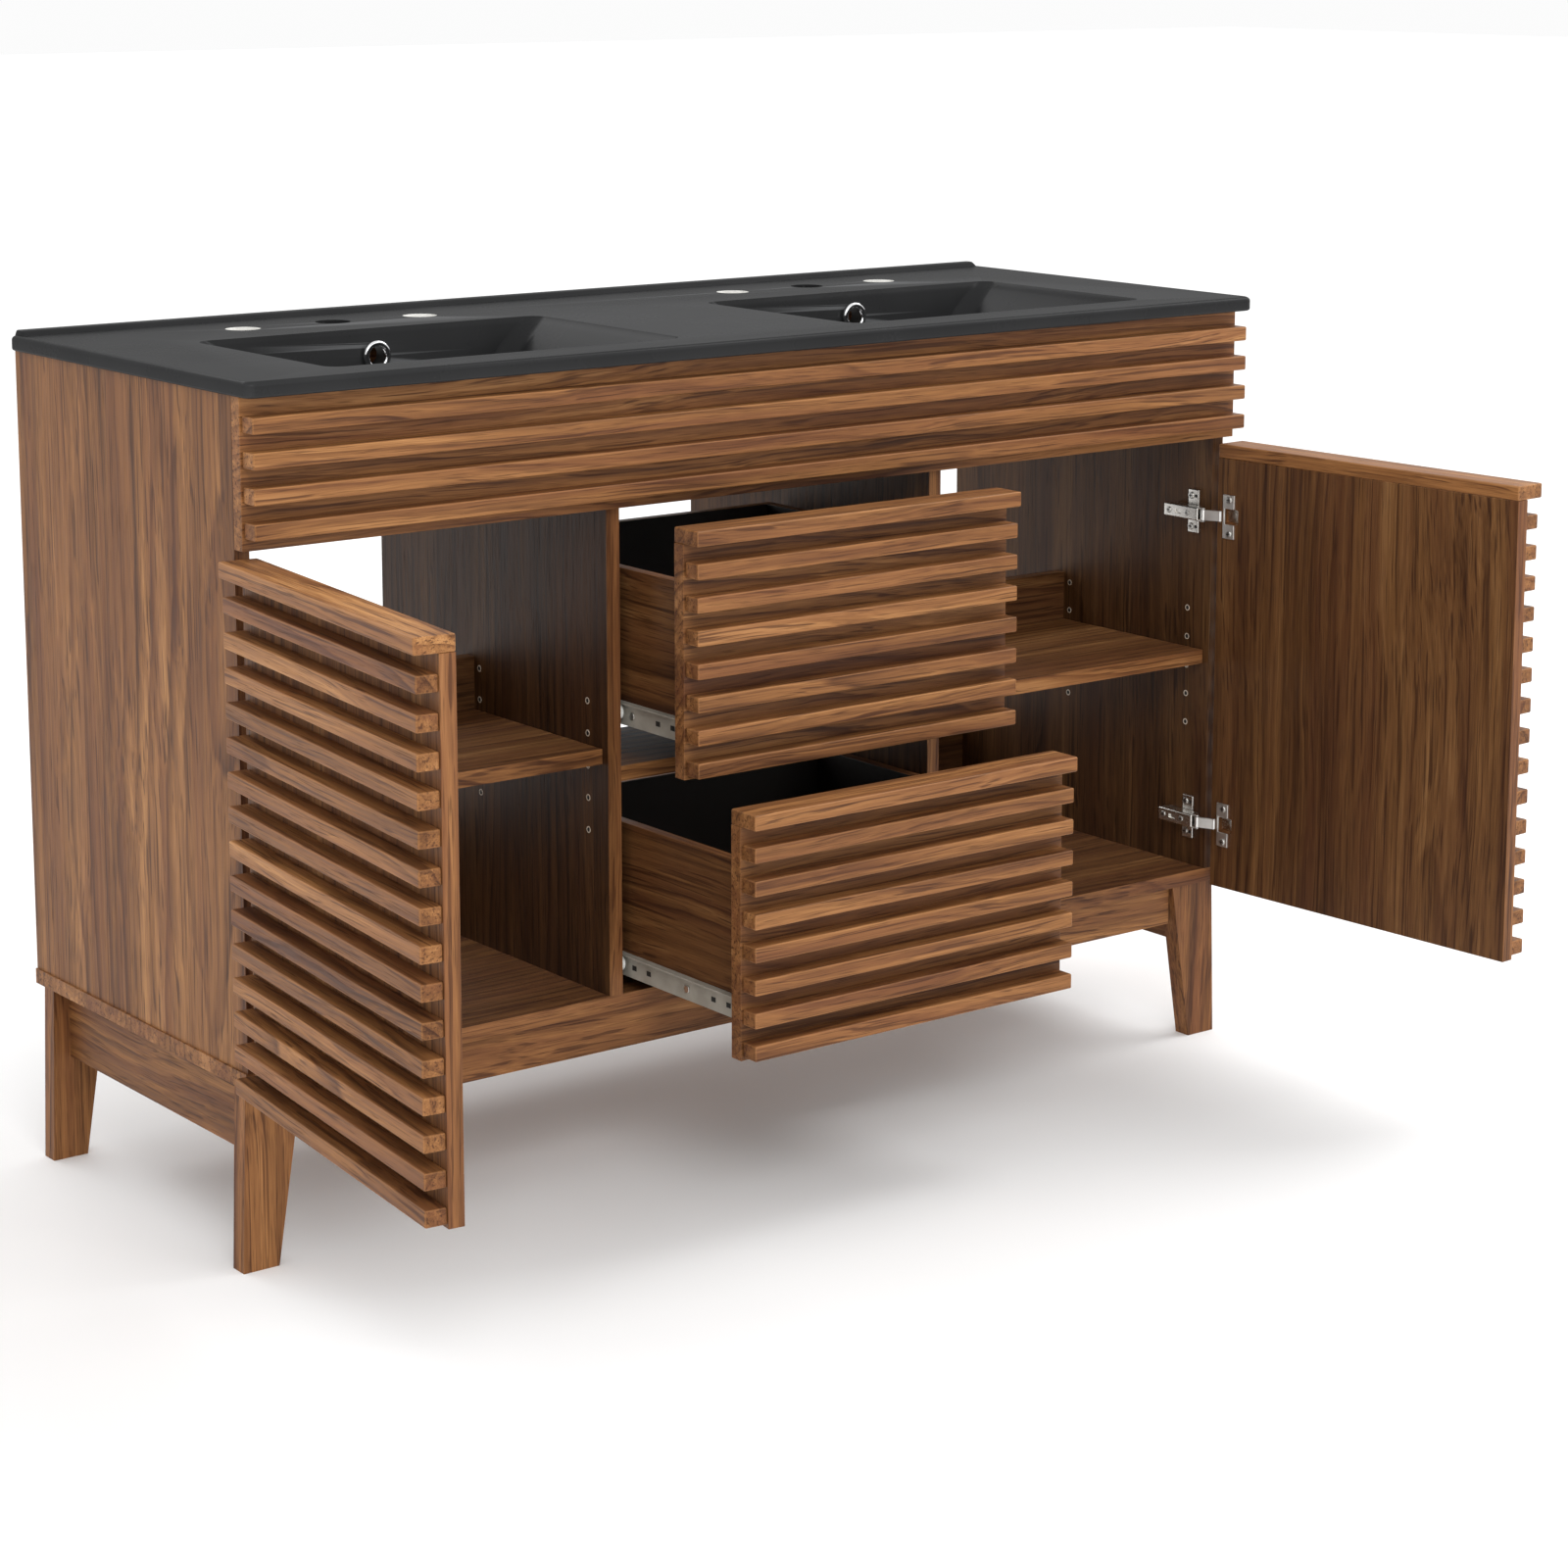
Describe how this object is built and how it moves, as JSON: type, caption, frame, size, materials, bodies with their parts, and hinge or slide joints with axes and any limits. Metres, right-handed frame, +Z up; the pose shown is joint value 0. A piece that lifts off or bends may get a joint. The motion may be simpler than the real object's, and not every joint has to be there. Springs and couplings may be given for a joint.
{
  "type": "bathroom vanity cabinet",
  "caption": "Walnut-effect double-basin bathroom vanity with a black ceramic top, slatted hinged doors, slatted drawers, open back and tapered board legs.",
  "frame": {"origin": "centre of the overall box on the floor, with the doors open and the drawers out as stored; the cabinet centre line is at X = +0.0103 m and the front edge of the ceramic top at Y = -0.0478 m", "axes": "+X to the right seen from the front, +Y towards the wall, +Z up; the doors and drawers face -Y"},
  "size_m": [1.3215, 0.8444, 0.83],
  "materials": {
    "walnut": "satin walnut-effect foil, grain along each board",
    "walnut_dark": "satin walnut-effect foil, darker boards",
    "drawer_board": "satin walnut-effect foil outside, dark inside",
    "drawer_lining": "matt near-black board",
    "ceramic": "satin near-black glaze, white where the tap holes are unglazed",
    "chrome": "polished",
    "nickel": "nickel-plated pressed steel",
    "slide_enamel": "light grey-white epoxy enamel",
    "roller": "white moulded plastic"
  },
  "bodies": {
    "cabinet": {"sink_top": "ceramic", "left_overflow_ring": "chrome", "right_overflow_ring": "chrome", "left_side_panel": "walnut", "right_side_panel": "walnut", "bottom_panel": "walnut", "left_divider": "walnut", "right_divider": "walnut", "left_shelf": "walnut", "right_shelf": "walnut", "left_back_rail": "walnut", "lower_back_board": "walnut", "right_back_rail": "walnut", "top_back_rail": "walnut", "drawer_rail": "walnut", "fascia_panel": "walnut", "right_front_leg": "walnut_dark", "right_back_leg": "walnut_dark", "left_front_leg": "walnut_dark", "left_back_leg": "walnut_dark", "left_base_rail": "walnut_dark", "right_base_rail": "walnut_dark", "front_base_rail": "walnut_dark", "back_base_rail": "walnut_dark", "upper_left_cabinet_slide": "slide_enamel", "upper_right_cabinet_slide": "slide_enamel", "lower_left_cabinet_slide": "slide_enamel", "lower_right_cabinet_slide": "slide_enamel", "left_upper_hinge_arm": "nickel", "left_lower_hinge_arm": "nickel", "right_upper_hinge_arm": "nickel", "right_lower_hinge_arm": "nickel"},
    "left_door": {"left_door": "walnut", "left_upper_hinge_cup": "nickel", "left_lower_hinge_cup": "nickel"},
    "right_door": {"right_door": "walnut", "right_upper_hinge_cup": "nickel", "right_lower_hinge_cup": "nickel"},
    "upper_drawer": {"upper_drawer_front": "walnut", "upper_drawer_left_side": "drawer_board", "upper_drawer_right_side": "drawer_board", "upper_drawer_back": "drawer_board", "upper_drawer_bottom": "drawer_lining", "upper_left_drawer_slide": "slide_enamel", "upper_right_drawer_slide": "slide_enamel"},
    "lower_drawer": {"lower_drawer_front": "walnut", "lower_drawer_left_side": "drawer_board", "lower_drawer_right_side": "drawer_board", "lower_drawer_back": "drawer_board", "lower_drawer_bottom": "drawer_lining", "lower_left_drawer_slide": "slide_enamel", "lower_right_drawer_slide": "slide_enamel"},
    "left_upper_link": {"left_upper_hinge_link": "nickel"},
    "left_lower_link": {"left_lower_hinge_link": "nickel"},
    "right_upper_link": {"right_upper_hinge_link": "nickel"},
    "right_lower_link": {"right_lower_hinge_link": "nickel"},
    "upper_left_roller": {"upper_left_slide_roller": "roller"},
    "upper_right_roller": {"upper_right_slide_roller": "roller"},
    "lower_left_roller": {"lower_left_slide_roller": "roller"},
    "lower_right_roller": {"lower_right_slide_roller": "roller"}
  },
  "joints": [
    {"name": "left_door_hinge", "type": "hinge", "parent": "cabinet", "child": "left_door", "pos_m": [-0.5895, -0.0235, 0.42], "axis": [0, 0, -1], "range_deg": [-96.5, 13.5]},
    {"name": "right_door_hinge", "type": "hinge", "parent": "cabinet", "child": "right_door", "pos_m": [0.6101, -0.0235, 0.42], "axis": [0, 0, 1], "range_deg": [-93.5, 16.5]},
    {"name": "upper_drawer_run", "type": "slide", "parent": "cabinet", "child": "upper_drawer", "axis": [0, -1, 0], "range_m": [-0.096, 0.164]},
    {"name": "lower_drawer_run", "type": "slide", "parent": "cabinet", "child": "lower_drawer", "axis": [0, -1, 0], "range_m": [-0.184, 0.076]},
    {"name": "left_upper_link_pivot", "type": "hinge", "parent": "cabinet", "child": "left_upper_link", "pos_m": [-0.5657, -0.0118, 0.587], "axis": [0, 0, -1], "range_deg": [-6.5, 43]},
    {"name": "left_lower_link_pivot", "type": "hinge", "parent": "cabinet", "child": "left_lower_link", "pos_m": [-0.5657, -0.0118, 0.245], "axis": [0, 0, -1], "range_deg": [-6.5, 43]},
    {"name": "right_upper_link_pivot", "type": "hinge", "parent": "cabinet", "child": "right_upper_link", "pos_m": [0.5863, -0.0118, 0.587], "axis": [0, 0, 1], "range_deg": [-8, 42]},
    {"name": "right_lower_link_pivot", "type": "hinge", "parent": "cabinet", "child": "right_lower_link", "pos_m": [0.5863, -0.0118, 0.245], "axis": [0, 0, 1], "range_deg": [-8, 42]},
    {"name": "upper_left_roller_axle", "type": "hinge", "parent": "cabinet", "child": "upper_left_roller", "pos_m": [-0.1758, 0.0047, 0.4681], "axis": [1, 0, 0], "range_deg": [-700, 1190]},
    {"name": "upper_right_roller_axle", "type": "hinge", "parent": "cabinet", "child": "upper_right_roller", "pos_m": [0.1964, 0.0047, 0.4681], "axis": [1, 0, 0], "range_deg": [-700, 1190]},
    {"name": "lower_left_roller_axle", "type": "hinge", "parent": "cabinet", "child": "lower_left_roller", "pos_m": [-0.1758, 0.0047, 0.2171], "axis": [1, 0, 0], "range_deg": [-1330, 560]},
    {"name": "lower_right_roller_axle", "type": "hinge", "parent": "cabinet", "child": "lower_right_roller", "pos_m": [0.1964, 0.0047, 0.2171], "axis": [1, 0, 0], "range_deg": [-1330, 560]}
  ],
  "couplings": [
    {"joint": "left_upper_link_pivot", "follows": "left_door_hinge", "ratio": -0.44},
    {"joint": "left_lower_link_pivot", "follows": "left_door_hinge", "ratio": -0.44},
    {"joint": "right_upper_link_pivot", "follows": "right_door_hinge", "ratio": -0.44},
    {"joint": "right_lower_link_pivot", "follows": "right_door_hinge", "ratio": -0.44},
    {"joint": "upper_left_roller_axle", "follows": "upper_drawer_run", "rad_per_m": 125},
    {"joint": "upper_right_roller_axle", "follows": "upper_drawer_run", "rad_per_m": 125},
    {"joint": "lower_left_roller_axle", "follows": "lower_drawer_run", "rad_per_m": 125},
    {"joint": "lower_right_roller_axle", "follows": "lower_drawer_run", "rad_per_m": 125}
  ]
}
